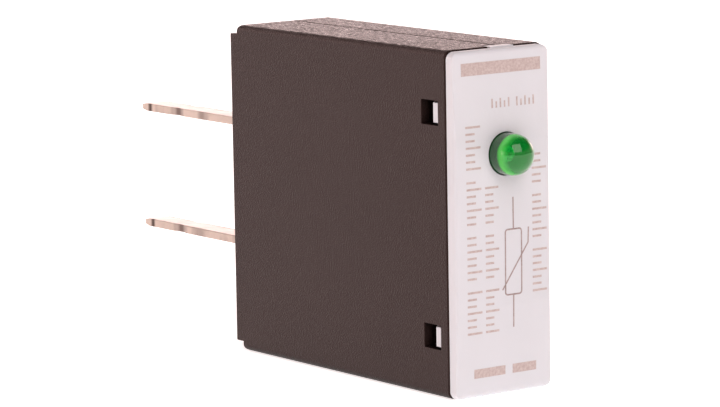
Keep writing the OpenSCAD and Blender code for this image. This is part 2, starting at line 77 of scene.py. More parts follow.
class Graph:
    """A material's node tree with short calls for the nodes the finishes share."""

    def __init__(self, name: str) -> None:
        """Makes the material, its Principled shader and its object coordinates.

        Args:
            name: the material's name.
        """
        self.material = bpy.data.materials.new(name)
        self.material.use_nodes = True
        self.tree = self.material.node_tree
        self.tree.nodes.clear()
        output = self.tree.nodes.new("ShaderNodeOutputMaterial")
        self.shader = self.tree.nodes.new("ShaderNodeBsdfPrincipled")
        self.tree.links.new(self.shader.outputs[0], output.inputs["Surface"])
        texture = self.tree.nodes.new("ShaderNodeTexCoord")
        self.coords = texture.outputs["Object"]
        self.normal = texture.outputs["Normal"]

    def set(self, **values: Any) -> None:
        """Sets constants on the shader's sockets, with underscores for the spaces in their names."""
        for name, value in values.items():
            self.shader.inputs[name.replace("_", " ")].default_value = value

    def link(self, socket: Any, name: str) -> None:
        """Feeds a socket into the shader's input of that name."""
        self.tree.links.new(socket, self.shader.inputs[name])

    def node(self, kind: str, inputs: dict[str | int, Any], **settings: Any) -> Any:
        """Adds a node.

        Args:
            kind: the node's Blender type.
            inputs: constants or sockets by input name or index.
            settings: the node's own settings.

        Returns:
            The node.
        """
        made = self.tree.nodes.new(kind)
        for key, value in settings.items():
            setattr(made, key, value)
        for key, value in inputs.items():
            if isinstance(value, bpy.types.NodeSocket):
                self.tree.links.new(value, made.inputs[key])
            else:
                made.inputs[key].default_value = value
        return made

    def stretched(self, scale: Colour) -> Any:
        """Object coordinates stretched by a factor along each axis."""
        return self.node("ShaderNodeMapping", {"Vector": self.coords, "Scale": scale}).outputs[0]

    def part(self, vector: Any, axis: Axis) -> Any:
        """The component of a vector along an axis, such as the place or the slope along it."""
        return self.node("ShaderNodeSeparateXYZ", {0: vector}).outputs[axis.value]

    def noise(self, size: float, detail: float = 2.0, rough: float = 0.5, where: Any = None) -> Any:
        """Smooth noise whose lumps are about `size` metres across.

        Args:
            size: the lumps' width.
            detail: the number of finer layers.
            rough: how strong the finer layers are.
            where: coordinates, or None for the object's own.

        Returns:
            The noise's 0 to 1 output.
        """
        inputs = {"Vector": where or self.coords, "Scale": 1 / size, "Detail": detail, "Roughness": rough}
        return self.node("ShaderNodeTexNoise", inputs).outputs[0]

    def spread(self, noise: Any, start: float, end: float) -> Any:
        """Stretches start..end of a noise over 0 to 1, which sets its contrast and its share."""
        return self.span(noise, 0.0, 1.0, start, end)

    def cells(self, size: float) -> Any:
        """Distance to the nearest of points scattered about `size` metres apart."""
        cells = self.node("ShaderNodeTexVoronoi", {"Vector": self.coords, "Scale": 1 / size})
        return cells.outputs["Distance"]

    def span(self, value: Any, low: float, high: float, start: float = 0.0, end: float = 1.0) -> Any:
        """Maps start..end of a value to low..high."""
        inputs = {"Value": value, "From Min": start, "From Max": end, "To Min": low, "To Max": high}
        return self.node("ShaderNodeMapRange", inputs).outputs[0]

    def math(self, operation: str, a: Any, b: Any = 0.0) -> Any:
        """One arithmetic step on two values, or on one."""
        return self.node("ShaderNodeMath", {0: a, 1: b}, operation=operation).outputs[0]

    def blend(self, amount: Any, a: Colour, b: Colour | Any) -> Any:
        """A colour between a and b.

        Args:
            amount: 0 for a, 1 for b.
            a: the first colour, or a socket.
            b: the second colour, or a socket.

        Returns:
            The mixed colour's socket.
        """
        mix = self.node("ShaderNodeMix", {"Factor": amount}, data_type="RGBA")
        for index, colour in ((6, a), (7, b)):
            if isinstance(colour, bpy.types.NodeSocket):
                self.tree.links.new(colour, mix.inputs[index])
            else:
                mix.inputs[index].default_value = (*colour, 1.0)
        return mix.outputs[2]

    def bump(self, height: Any, depth: float, strength: float = 1.0) -> None:
        """Bends the shader's normal by a relief.

        Args:
            height: the 0 to 1 height.
            depth: the height's real depth in metres.
            strength: the bump's strength.
        """
        relief = self.node("ShaderNodeBump", {"Height": height, "Distance": depth, "Strength": strength})
        self.link(relief.outputs[0], "Normal")


@dataclass(frozen=True)
class GrainedPlastic:
    """Moulded plastic whose surface copies a spark-eroded mould."""

    name: str
    colour: Colour
    worn: Colour
    grain: float = 0.2 * MM
    depth: float = 0.04 * MM
    roughness: tuple[float, float] = (0.2, 0.56)
    gloss: float = 0.19
    mottle: float = 0.52 * MM
    recess: float = 1.6 * MM
    # dark: the painted shade colour for openings and crevices
    dark: Colour = (0.003, 0.002, 0.002)
    drift: float = 11 * MM
    drift_shade: float = 0.86
    side_mottle: float = 0.22

    def material(self) -> bpy.types.Material:
        """Colour varies slowly over the wall, and grain sets both height and gloss.

        Upward faces get a stronger mottle in colour and gloss, and side_mottle is its share on the other
        faces.
        Openings are painted darker with depth, as painted shade, because little light reaches their inner
        walls.
        """
        g = Graph(self.name)
        lumps = g.spread(g.noise(self.grain, 3.0, 0.6), 0.32, 0.68)
        pits = g.cells(self.grain * 0.8)
        height = g.math("ADD", g.math("MULTIPLY", lumps, 0.7), g.math("MULTIPLY", pits, 0.45))
        drift = g.spread(g.noise(self.drift, 3.0, 0.6), 0.35, 0.7)
        base = g.blend(drift, self.colour, tuple(self.drift_shade * c for c in self.colour))
        # facing_up: how far a face looks up; the colour and gloss mottle is stronger there
        facing_up = g.span(g.part(g.normal, Axis.Z), self.side_mottle, 1.0, 0.8, 0.99)
        swing = g.math("SUBTRACT", g.spread(g.noise(self.mottle, 3.0, 0.75), 0.43, 0.6), 0.5)
        coarse = g.math("ADD", g.math("MULTIPLY", swing, facing_up), 0.5)
        base = g.blend(g.math("MULTIPLY", lumps, coarse), base, self.worn)
        # painted shade: ambient occlusion blends the base colour towards dark in openings and crevices
        occlusion = g.node("ShaderNodeAmbientOcclusion", {"Distance": self.recess}, samples=8)
        open_air = g.span(occlusion.outputs["AO"], 0.12, 1.0, 0.25, 0.8)
        g.link(g.blend(open_air, self.dark, base), "Base Color")
        wear = g.math("ADD", g.math("MULTIPLY", height, 0.4), g.math("MULTIPLY", coarse, 0.6))
        g.link(g.span(wear, self.roughness[1], self.roughness[0], 0.1, 0.95), "Roughness")
        g.set(IOR=1.52, Specular_IOR_Level=self.gloss, Specular_Tint=(1.0, 0.7, 0.67, 1.0))
        g.bump(height, self.depth)
        return g.material


@dataclass(frozen=True)
class SatinPlastic:
    """Pale moulded plastic with a soft sheen and a little light passing through its skin."""

    name: str
    colour: Colour
    shade: Colour
    roughness: float = 0.42
    swing: float = 0.07
    flow: float = 6 * MM
    peel: float = 0.5 * MM
    depth: float = 0.012 * MM
    bleed: Colour = (0.0012, 0.0009, 0.0008)

    def material(self) -> bpy.types.Material:
        """Broad flow marks tint the colour, and a fine orange peel breaks up the gloss."""
        g = Graph(self.name)
        flow = g.noise(self.flow, 2.0, 0.5, g.stretched((1.0, 1.0, 0.35)))
        peel = g.noise(self.peel)
        g.link(g.blend(g.span(flow, 0.0, 0.6, 0.35, 0.7), self.colour, self.shade), "Base Color")
        g.link(g.span(peel, self.roughness + self.swing, self.roughness - self.swing, 0.3, 0.7), "Roughness")
        g.set(IOR=1.5, Subsurface_Weight=0.12, Subsurface_Radius=self.bleed, Subsurface_Scale=1.0)
        g.bump(peel, self.depth)
        return g.material


@dataclass(frozen=True)
class TintedEpoxy:
    """Clear epoxy tinted in the mass, as an indicator's lens is."""

    name: str
    colour: Colour
    # painted_glow: a lighter green painted where light gathers in the body; shade: painted shade for the end
    # in the bore
    painted_glow: Colour
    shade: Colour
    near: float
    far: float
    haze: tuple[float, float] = (0.32, 0.8)
    blur: float = 0.2
    gloss: float = 0.015
    skin: float = 1.53
    core: float = 1.2
    mist: tuple[float, float] = (1.6 * MM, 0.4 * MM)
    # gather: where the painted glow comes in; bore: where the painted shade starts
    gather: tuple[float, float] = (0.45, 0.75)
    bore: float = 0.86

    def material(self) -> bpy.types.Material:
        """Part of the light passes through, blurred, and part scatters inside; the skin stays clear.

        The colour is the dome's at the near end, hazier towards the far end and lighter there as painted
        glow, where light gathers, and painted shade at the far end itself, which stands in the cover's bore.
        The mist, a size and a reach, makes the borders between them uneven.
        """
        g = Graph(self.name)
        size, reach = self.mist
        depth = g.math("ADD", g.part(g.coords, Axis.Y), g.math("MULTIPLY", g.noise(size), reach))
        place = g.span(depth, 0.0, 1.0, self.near, self.far)
        # painted glow towards the far end, then painted shade at the far end itself
        glow = g.blend(g.spread(place, *self.gather), self.colour, self.painted_glow)
        g.link(g.blend(g.spread(place, self.bore, 1.0), glow, self.shade), "Base Color")
        clear = [1.0 - haze for haze in self.haze]
        g.link(g.span(place, *clear, 0.4, self.gather[1]), "Transmission Weight")
        g.set(IOR=self.core, Roughness=self.blur, Coat_Weight=1.0, Coat_IOR=self.skin,
              Coat_Roughness=self.gloss, Specular_Tint=(0.2, 0.9, 0.3, 1.0))
        return g.material


@dataclass(frozen=True)
class Sheared:
    """The bare cut edges of a part stamped from tinned strip.

    Each shaded dent is a middle and a half length along Y where the cut edge is painted dark as painted
    shade. The rim is how far the bare finish reaches round onto the flat faces.
    """

    colour: Colour
    # the dark colour for the stains and for the painted shade at the dents
    stain_and_shade: Colour
    half_width: float
    shaded_dents: tuple[tuple[float, float], ...]
    rim: float = 0.4 * MM
    patch: float = 3.4 * MM
    patch_share: float = 0.5
    side_rough: float = 0.42
    rim_rough: float = 0.85


@dataclass(frozen=True)
class TinnedMetal:
    """Tin over copper alloy, drawn or stamped so that fine lines run along one axis."""

    name: str
    colour: Colour
    tarnish: Colour
    along: Colour
    roughness: tuple[float, float] = (0.16, 0.36)
    sheared: Sheared | None = None
    line: float = 0.12 * MM
    patch: float = 3.2 * MM
    depth: float = 0.006 * MM

    def material(self) -> bpy.types.Material:
        """Lines stretched along the drawing direction, with warm tarnish in patches."""
        g = Graph(self.name)
        lines = g.noise(self.line, 2.0, 0.6, g.stretched(self.along))
        patch = g.spread(g.noise(self.patch, 3.0, 0.6), 0.4, 0.72)
        colour = g.blend(patch, self.colour, self.tarnish)
        gloss = g.span(lines, *self.roughness, 0.3, 0.7)
        if self.sheared:
            colour, gloss = self.cut_edges(g, self.sheared, colour, gloss)
        else:
            g.set(Metallic=1.0)
        g.link(colour, "Base Color")
        g.link(gloss, "Roughness")
        g.bump(g.math("ADD", lines, g.math("MULTIPLY", patch, 0.4)), self.depth)
        return g.material

    @staticmethod
    def cut_edges(g: Graph, cut: Sheared, colour: Any, gloss: Any) -> tuple[Any, Any]:
        """Lays the bare, stained finish, with painted shade at the dents, over the faces that look along X
        and a thin rim beside them.

        Args:
            g: the material's graph.
            cut: the cut edges' finish.
            colour: the tinned colour.
            gloss: the tinned roughness.

        Returns:
            The colour and roughness with the cut edges laid in.
        """
        side = g.spread(g.math("ABSOLUTE", g.part(g.normal, Axis.X)), 0.3, 0.75)
        across = g.math("ABSOLUTE", g.part(g.coords, Axis.X))
        rim = g.spread(across, cut.half_width - cut.rim, cut.half_width - cut.rim / 4)
        along = g.part(g.coords, Axis.Y)
        patches = g.noise(cut.patch, 2.0, 0.5, g.stretched((0.3, 1.0, 0.3)))
        stain_and_shade_mask = g.span(patches, 0.0, cut.patch_share, 0.5, 0.66)
        # painted shade: each dent darkens the cut edge towards the stain colour
        for middle, half in cut.shaded_dents:
            away = g.math("ABSOLUTE", g.math("SUBTRACT", along, middle))
            stain_and_shade_mask = g.math("MAXIMUM", stain_and_shade_mask, g.span(away, 1.0, 0.0, half * 0.3, half * 1.5))
        bare = g.blend(stain_and_shade_mask, cut.colour, cut.stain_and_shade)
        dull = g.math("MAXIMUM", *(g.math("MULTIPLY", share, rough) for share, rough in
                                   ((side, cut.side_rough), (rim, cut.rim_rough))))
        g.link(g.span(g.math("SUBTRACT", rim, side), 1.0, 0.1), "Metallic")
        g.set(Specular_IOR_Level=0.15)
        return g.blend(g.math("MAXIMUM", side, rim), colour, bare), g.math("MAXIMUM", gloss, dull)


@dataclass(frozen=True)
class BoardLaminate:
    """Glass laminate under green solder resist, with its weave just showing."""

    name: str
    colour: Colour
    light: Colour
    thread: float = 0.45 * MM
    haze: float = 2 * MM
    depth: float = 0.01 * MM

    def material(self) -> bpy.types.Material:
        """Two crossed waves make the weave, which tints and dimples the resist."""
        g = Graph(self.name)
        scale = 1 / (2 * self.thread)
        waves = [g.node("ShaderNodeTexWave", {"Vector": g.coords, "Scale": scale, "Distortion": 0.6},
                        bands_direction=axis).outputs[1] for axis in ("Y", "Z")]
        weave = g.math("MULTIPLY", *waves)
        g.link(g.blend(g.span(weave, 0.0, 0.5), self.colour, self.light), "Base Color")
        g.link(g.span(g.noise(self.haze), 0.22, 0.34), "Roughness")
        g.set(IOR=1.55, Coat_Weight=0.3, Coat_Roughness=0.1)
        g.bump(weave, self.depth)
        return g.material


@dataclass(frozen=True)
class DippedEpoxy:
    """Thick dipped coating with a wet, slightly lumpy skin."""

    name: str
    colour: Colour
    thin: Colour
    roughness: float = 0.22
    lump: float = 2.2 * MM
    ripple: float = 0.5 * MM
    depth: float = 0.05 * MM

    def material(self) -> bpy.types.Material:
        """Lumps of two sizes bend the skin, and the colour is lighter where the coat is thin."""
        g = Graph(self.name)
        lumps = g.noise(self.lump)
        fine = g.noise(self.ripple)
        g.link(g.blend(g.span(lumps, 0.0, 0.7, 0.4, 0.75), self.colour, self.thin), "Base Color")
        g.link(g.span(fine, self.roughness - 0.05, self.roughness + 0.12, 0.3, 0.7), "Roughness")
        g.set(IOR=1.54, Coat_Weight=0.35, Coat_Roughness=0.08)
        g.bump(g.math("ADD", lumps, g.math("MULTIPLY", fine, 0.3)), self.depth)
        return g.material


@dataclass(frozen=True)
class BandedBody:
    """A small turned component with painted rings round it."""

    name: str
    colour: Colour
    axis: Axis
    bands: tuple[tuple[float, float, Colour], ...]
    roughness: float = 0.35
    skin: float = 0.4 * MM
    depth: float = 0.01 * MM

    def material(self, low: float, high: float) -> bpy.types.Material:
        """Paints each ring between two shares of the body's length.

        Args:
            low: where the body starts along its axis.
            high: where it ends.

        Returns:
            The material.
        """
        g = Graph(self.name)
        share = g.spread(g.part(g.coords, self.axis), low, high)
        colour: Any = self.colour
        for start, end, ring in self.bands:
            past, before = g.math("GREATER_THAN", share, start), g.math("LESS_THAN", share, end)
            colour = g.blend(g.math("MULTIPLY", past, before), colour, ring)
        g.link(colour, "Base Color")
        skin = g.noise(self.skin, 3.0, 0.6)
        g.link(g.span(skin, self.roughness - 0.08, self.roughness + 0.12, 0.3, 0.7), "Roughness")
        g.bump(skin, self.depth)
        return g.material


@dataclass(frozen=True)
class PrintedInk:
    """Pad-printed ink, a little thin and uneven at this size."""

    name: str
    colour: Colour
    thin: Colour
    patch: float = 0.35 * MM
    depth: float = 0.004 * MM

    def material(self) -> bpy.types.Material:
        """The cover's colour shows through where the ink is thin."""
        g = Graph(self.name)
        cover = g.spread(g.noise(self.patch, 3.0, 0.65), 0.38, 0.72)
        g.link(g.blend(cover, self.colour, self.thin), "Base Color")
        g.set(Roughness=0.55, IOR=1.48)
        g.bump(cover, self.depth)
        return g.material


@dataclass(frozen=True)
class PaleFloor:
    """Matt white light table under the object."""

    name: str = "pale_floor"
    colour: Colour = (0.92, 0.91, 0.91)
    shade: float = 0.985
    glow: float = 0.72
    glow_colour: Colour = (1.0, 0.95, 0.94)
    tooth: float = 1.5 * MM
    depth: float = 0.01 * MM

    def material(self) -> bpy.types.Material:
        """A faint paper tooth on an even pale colour."""
        g = Graph(self.name)
        tooth = g.noise(self.tooth, 3.0, 0.6)
        dull = tuple(self.shade * c for c in self.colour)
        g.link(g.blend(g.spread(tooth, 0.3, 0.7), self.colour, dull), "Base Color")
        g.set(Roughness=0.85, Emission_Color=(*self.glow_colour, 1.0), Emission_Strength=self.glow)
        g.bump(tooth, self.depth, 0.3)
        return g.material


# ---------------------------------------------------------------- shared surface work


def grid_shape(points: np.ndarray, closed_u: bool, closed_v: bool) -> Shape:
    """The vertices and quads of a surface through a grid of points.

    Args:
        points: the grid, shaped rows by columns by 3.
        closed_u: whether the last row joins the first.
        closed_v: whether the last column joins the first.

    Returns:
        The vertices, and a quad between each four neighbours.
    """
    rows, cols = points.shape[:2]
    row, col = np.meshgrid(np.arange(rows if closed_u else rows - 1),
                           np.arange(cols if closed_v else cols - 1), indexing="ij")
    next_row, next_col = (row + 1) % rows, (col + 1) % cols
    corners = [row * cols + col, next_row * cols + col, next_row * cols + next_col, row * cols + next_col]
    return points.reshape(-1, 3), np.stack(corners, -1).reshape(-1, 4)


def merge_shapes(shapes: list[Shape]) -> Shape:
    """Puts separate shapes into one, each one's faces counted on from the vertices before it."""
    starts = np.cumsum([0, *(len(vertices) for vertices, _ in shapes)])
    faces = [quads + start for (_, quads), start in zip(shapes, starts)]
    return np.vstack([vertices for vertices, _ in shapes]), np.vstack(faces)


def make_piece(name: str, shape: Shape, smooth: bool = True) -> bpy.types.Object:
    """Makes and links an object from vertex and face arrays."""
    vertices, faces = shape
    mesh = bpy.data.meshes.new(name)
    mesh.from_pydata(vertices.tolist(), [], faces.tolist())
    mesh.polygons.foreach_set("use_smooth", np.full(len(mesh.polygons), smooth))
    mesh.update()
    made = bpy.data.objects.new(name, mesh)
    bpy.context.scene.collection.objects.link(made)
    return made


def close_poles(piece: bpy.types.Object, reach: float = 1e-7) -> None:
    """Merges the points that meet on an axis and turns the faces outwards."""
    work = bmesh.new()
    work.from_mesh(piece.data)
    bmesh.ops.remove_doubles(work, verts=work.verts, dist=reach)
    bmesh.ops.recalc_face_normals(work, faces=work.faces)
    work.to_mesh(piece.data)
    work.free()
    piece.data.polygons.foreach_set("use_smooth", np.ones(len(piece.data.polygons), bool))
    piece.data.update()


def paint(piece: bpy.types.Object, material: bpy.types.Material) -> None:
    """Puts one material on all of a piece."""
    piece.data.materials.clear()
    piece.data.materials.append(material)


def settle(piece: bpy.types.Object, slot: str, *nodes: str) -> None:
    """Lets a new piece ride and hides the nodes that it stands for.

    Args:
        piece: the new piece.
        slot: not used.
        nodes: the CAD nodes that it replaces, if any.
    """
    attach(piece, ROOT)
    if nodes:
        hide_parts(*nodes)


@dataclass(frozen=True)
class EdgeBreak:
    """Live modifiers that weld a CAD node's triangles and break its sharp edges."""

    width: float
    segments: int = 2
    angle: float = math.radians(32)
    flat: float = math.radians(0.04)
    weld: float = 2e-7

    def apply(self, node: bpy.types.Object) -> None:
        """Adds the modifiers and smooth shading, and leaves the node's own vertices alone."""
        polygons = node.data.polygons
        polygons.foreach_set("use_smooth", np.ones(len(polygons), bool))
        stored = node.data.attributes.get("custom_normal")
        if stored:
            node.data.attributes.remove(stored)
        node.modifiers.new("weld", "WELD").merge_threshold = self.weld
        merge = node.modifiers.new("merge_flats", "DECIMATE")
        merge.decimate_type = "DISSOLVE"
        merge.angle_limit = self.flat
        bevel = node.modifiers.new("edge_break", "BEVEL")
        bevel.width = self.width
        bevel.segments = self.segments
        bevel.limit_method = "ANGLE"
        bevel.angle_limit = self.angle
        bevel.harden_normals = True
        bevel.use_clamp_overlap = True


# ---------------------------------------------------------------- sub-assemblies


@dataclass
class CaseShells:
    """The two black half shells that close round the board."""

    nodes: tuple[str, ...] = ("left_shell", "right_shell")
    finish: GrainedPlastic = GrainedPlastic(
        "case_plastic", (0.015, 0.0084, 0.0074), (0.0255, 0.0153, 0.0136))
    edge: EdgeBreak = EdgeBreak(0.1 * MM, 3)

    def dress(self) -> None:
        """Grains both shells and breaks their edges."""
        material = self.finish.material()
        for name in self.nodes:
            paint(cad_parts[name], material)
            self.edge.apply(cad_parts[name])
        log.info("case shells: %s", ", ".join(self.nodes))


@dataclass(frozen=True)
class Ruling:
    """A plain ruled scale, in millimetres.

    Its steps are equal, every `major`th tick is full and every `skip`th is left out. The ticks run
    across x when it is upright and across z when it lies down.
    """

    name: str
    x: tuple[float, float]
    z: tuple[float, float]
    upright: bool = True
    step: float = 0.82
    short: float = 0.62
    major: int = 3
    skip: int = 8
    tick: float = 0.26

    def ticks(self) -> list[np.ndarray]:
        """The two ends of every tick as x, z in metres."""
        run, side = (self.z, self.x) if self.upright else (self.x, self.z)
        count = int((run[1] - run[0]) / self.step) + 1
        found = []
        for i in range(count):
            if self.skip and i % self.skip == self.skip - 1:
                continue
            reach = (side[1] - side[0]) * (1.0 if i % self.major == 0 else self.short)
            at = run[0] + i * self.step
            ends = [(side[0], at), (side[0] + reach, at)]
            found.append(np.array(ends if self.upright else [end[::-1] for end in ends]) * MM)
        return found


@dataclass
class FrontCover:
    """The white snap-in cover and what is printed on it.

    `drop` is the step from the case's top down to the cover's. `slant` is the symbol's bent line and
    `bars` are plain bars as x from, x to, z and width, all in millimetres.
    """

    crown: float = 0.35 * MM
    drop: float = 0.15 * MM
    edge_round: float = 0.6 * MM
    ink_rise: float = 0.012 * MM
    ink_step: float = 0.5 * MM
    mitre: float = 0.5
    line: float = 0.19 * MM
    symbol_x: float = 1.43 * MM
    body_w: float = 2.45 * MM
    body_z: tuple[float, float] = (11.9 * MM, 19.75 * MM)
    body_corner: float = 0.35 * MM
    lead_z: tuple[float, float] = (7.95 * MM, 23.6 * MM)
    slant: tuple[tuple[float, float], ...] = ((-0.25, 12.55), (3.65, 17.95), (3.72, 19.8))
    rulings: tuple[Ruling, ...] = (
        Ruling("scale_left", (-5.5, -3.3), (7.8, 32.6)),
        Ruling("scale_middle", (-2.75, -0.75), (7.8, 25.8)),
        Ruling("scale_right", (4.35, 6.5), (12.0, 28.4)),
        Ruling("scale_top", (-1.4, 5.9), (34.4, 35.5), False, 0.62, 0.7, 2, 6, 0.22),
    )
    bars: tuple[tuple[float, float, float, float], ...] = (
        (-5.9, 6.0, 39.2, 1.5), (-4.5, 0.2, 2.9, 1.1), (1.3, 4.9, 2.9, 1.1))
    finish: SatinPlastic = SatinPlastic("cover_plastic", (0.595, 0.617, 0.648), (0.57, 0.592, 0.622))
    ink: PrintedInk = PrintedInk("print_ink", (0.30, 0.235, 0.225), (0.42, 0.35, 0.34))
    pale_ink: PrintedInk = PrintedInk("pale_ink", (0.42, 0.34, 0.32), (0.55, 0.48, 0.46))
    edge: EdgeBreak = EdgeBreak(0.12 * MM)
    front_y: float = field(init=False)
    height: float = field(init=False)

    def __post_init__(self) -> None:
        """Takes the face's place and height from the frame; only the key reaches the case's top."""
        low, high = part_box("front_cover")
        self.front_y = low.y
        self.height = high.z - low.z - self.drop

    def face_y(self, z: np.ndarray) -> np.ndarray:
        """Where the crowned face lies at each height: a parabola between the two end roundings."""
        u = np.clip((z - self.edge_round) / (self.height - 2 * self.edge_round), 0.0, 1.0)
        return self.front_y + self.crown * (2 * u - 1) ** 2

    def on_face(self, flat: np.ndarray, lift: float) -> np.ndarray:
        """Puts x, z points on the crowned face, a lift in front of it."""
        return np.stack([flat[:, 0], self.face_y(flat[:, 1]) - lift, flat[:, 1]], -1)

    def stroke(self, path: np.ndarray, width: float, closed: bool = False) -> Shape:
        """The shape of a printed line that lies on the crowned face.

        The path is cut into short steps. At each step the line's two edges lie half a width to
        either side, square to the mean of the directions before and after, and the ink is a thin
        slab between the face and ink_rise in front of it.

        Args:
            path: points as x, z.
            width: the line's width.
            closed: whether the path ends where it starts.

        Returns:
            The slab's vertices and faces, with both ends of an open line closed.
        """
        ends = np.vstack([path, path[:1]]) if closed else path
        steps = np.hypot(*np.diff(ends, axis=0).T)
        corners = np.concatenate([[0.0], np.cumsum(steps)])
        counts = np.maximum(1, np.ceil(steps / self.ink_step).astype(int))
        runs = [np.linspace(start, end, count, endpoint=False)
                for start, end, count in zip(corners, corners[1:], counts)]
        along = np.concatenate([*runs, corners[-1:]])
        line = np.stack([np.interp(along, corners, ends[:, axis]) for axis in (0, 1)], -1)
        if closed:
            line = line[:-1]
            before, after = line - np.roll(line, 1, 0), np.roll(line, -1, 0) - line
        else:
            before = np.vstack([line[1:2] - line[:1], np.diff(line, axis=0)])
            after = np.vstack([np.diff(line, axis=0), line[-1:] - line[-2:-1]])
        before /= np.linalg.norm(before, axis=1, keepdims=True)
        after /= np.linalg.norm(after, axis=1, keepdims=True)
        mean = before + after
        mean /= np.linalg.norm(mean, axis=1, keepdims=True)
        square = np.stack([-mean[:, 1], mean[:, 0]], -1)
        reach = width / 2 / np.maximum(self.mitre, np.sum(mean * after, 1, keepdims=True))
        left, right = line + square * reach, line - square * reach
        slab = [self.on_face(side, lift) for side, lift in
                ((left, 0.0), (left, self.ink_rise), (right, self.ink_rise), (right, 0.0))]
        vertices, quads = grid_shape(np.stack(slab, 1), closed, True)
        if closed:
            return vertices, quads
        last = len(vertices)
        return vertices, np.vstack([quads, [[0, 1, 2, 3], [last - 1, last - 2, last - 3, last - 4]]])

    def symbol(self) -> dict[str, Shape]:
        """The varistor's circuit symbol: a rounded box, a lead at each end and a bent slant across it."""
        half, inset, centre = self.body_w / 2, self.body_corner, self.symbol_x
        low, high = self.body_z
        turn = np.linspace(0, math.pi / 2, 5)
        arc = np.stack([np.cos(turn), np.sin(turn)], -1) * inset
        quarters = [np.array([[c, -s], [s, c]]) for c, s in ((1, 0), (0, 1), (-1, 0), (0, -1))]
        middles = [(half - inset, high - inset), (-half + inset, high - inset),
                   (-half + inset, low + inset), (half - inset, low + inset)]
        box = np.vstack([arc @ quarter.T + (centre + x, z) for quarter, (x, z) in zip(quarters, middles)])
        top, bottom = ([(centre, a), (centre, b)] for a, b in ((high, self.lead_z[1]), (self.lead_z[0], low)))
        return {
            "symbol_body": self.stroke(box, self.line, closed=True),
            "symbol_upper_lead": self.stroke(np.array(top), self.line),
            "symbol_lower_lead": self.stroke(np.array(bottom), self.line),
            "symbol_slant": self.stroke(np.array(self.slant) * MM, self.line),
        }

    def scales(self) -> dict[str, Shape]:
        """The plain ruled scales and bars that stand where print would be."""
        found = {rule.name: merge_shapes([self.stroke(ends, rule.tick * MM) for ends in rule.ticks()])
                 for rule in self.rulings}
        for i, (x0, x1, z, width) in enumerate(self.bars):
            found[f"bar_{i}"] = self.stroke(np.array([(x0, z), (x1, z)]) * MM, width * MM)
        return found

    def build(self) -> None:
        """Prints the symbol in full ink, and the scales and bars in pale ink."""
        for ink, shapes in ((self.ink, self.symbol()), (self.pale_ink, self.scales())):
            material = ink.material()
            for name, shape in shapes.items():
                piece = make_piece(name, shape, smooth=name == "symbol_body")
                paint(piece, material)
                settle(piece, "cover_white")
            log.info("%s: %s", ink.name, ", ".join(shapes))

    def dress(self) -> None:
        """Finishes the cover itself."""
        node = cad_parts["front_cover"]
        paint(node, self.finish.material())
        self.edge.apply(node)
        log.info("front cover dressed")


@dataclass
class Indicator:
    """The green LED: a turned lens round its leads and chip.

    `greens` are the dome's colour, the body's painted glow and the base's painted shade. `bright_l` is how
    far from the tip the base starts, and `neck` is the last straight stretch before the flange.
    """

    flange_h: float = 1.0 * MM
    flange_w: float = 0.4 * MM
    corner: float = 0.12 * MM
    turns: int = 96
    neck: float = 0.2 * MM
    bright_l: float = 2.75 * MM
    # the dome's green, a lighter green as painted glow and a dark green as painted shade
    greens: tuple[Colour, Colour, Colour] = ((0.004, 0.5, 0.055), (0.08, 0.62, 0.085), (0.01, 0.08, 0.02))
    chip: TinnedMetal = TinnedMetal("led_chip", (0.55, 0.5, 0.2), (0.4, 0.36, 0.16), EVEN)
    lead_edge: EdgeBreak = EdgeBreak(0.03 * MM)

    def build(self) -> None:
        """Turns the lens about the LED's axis.

        The profile runs from the tip back: a quarter circle for the dome, the straight body, the
        flange with small rounded corners, and the flat base back to the axis.
        """
        low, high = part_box("led_lens")
        outer = (high.x - low.x) / 2
        radius = outer - self.flange_w
        axis_x, axis_z = (low.x + high.x) / 2, high.z - outer
        dome = np.linspace(0, math.pi / 2, 25)
        bend = np.linspace(0, math.pi / 2, 4)
        step, rise = self.corner * (1 - np.cos(bend)), self.corner * np.sin(bend)
        flange_y = high.y - self.flange_h
        along = np.concatenate([
            low.y + radius * (1 - np.cos(dome)), [flange_y - self.neck, flange_y],
            flange_y + step, high.y - step[::-1], [high.y]])
        out = np.concatenate([
            radius * np.sin(dome), [radius, radius],
            outer - self.corner + rise, outer - self.corner + rise[::-1], [0.0]])
        turn = np.linspace(0, 2 * math.pi, self.turns, endpoint=False)
        grid = np.stack([
            axis_x + np.outer(out, np.cos(turn)),
            np.repeat(along[:, None], self.turns, 1),
            axis_z + np.outer(out, np.sin(turn))], -1)
        piece = make_piece("indicator_lens", grid_shape(grid, False, True))
        close_poles(piece)
        epoxy = TintedEpoxy("led_epoxy", *self.greens, low.y, low.y + self.bright_l)
        paint(piece, epoxy.material())
        settle(piece, "led_green", "led_lens")
        log.info("indicator lens: %d faces", len(piece.data.polygons))

    def dress(self, tin: bpy.types.Material) -> None:
        """Finishes the chip and the two leads."""
        paint(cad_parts["led_chip"], self.chip.material())
        for name in ("led_anode_lead", "led_cathode_lead"):
            paint(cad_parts[name], tin)
            self.lead_edge.apply(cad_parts[name])


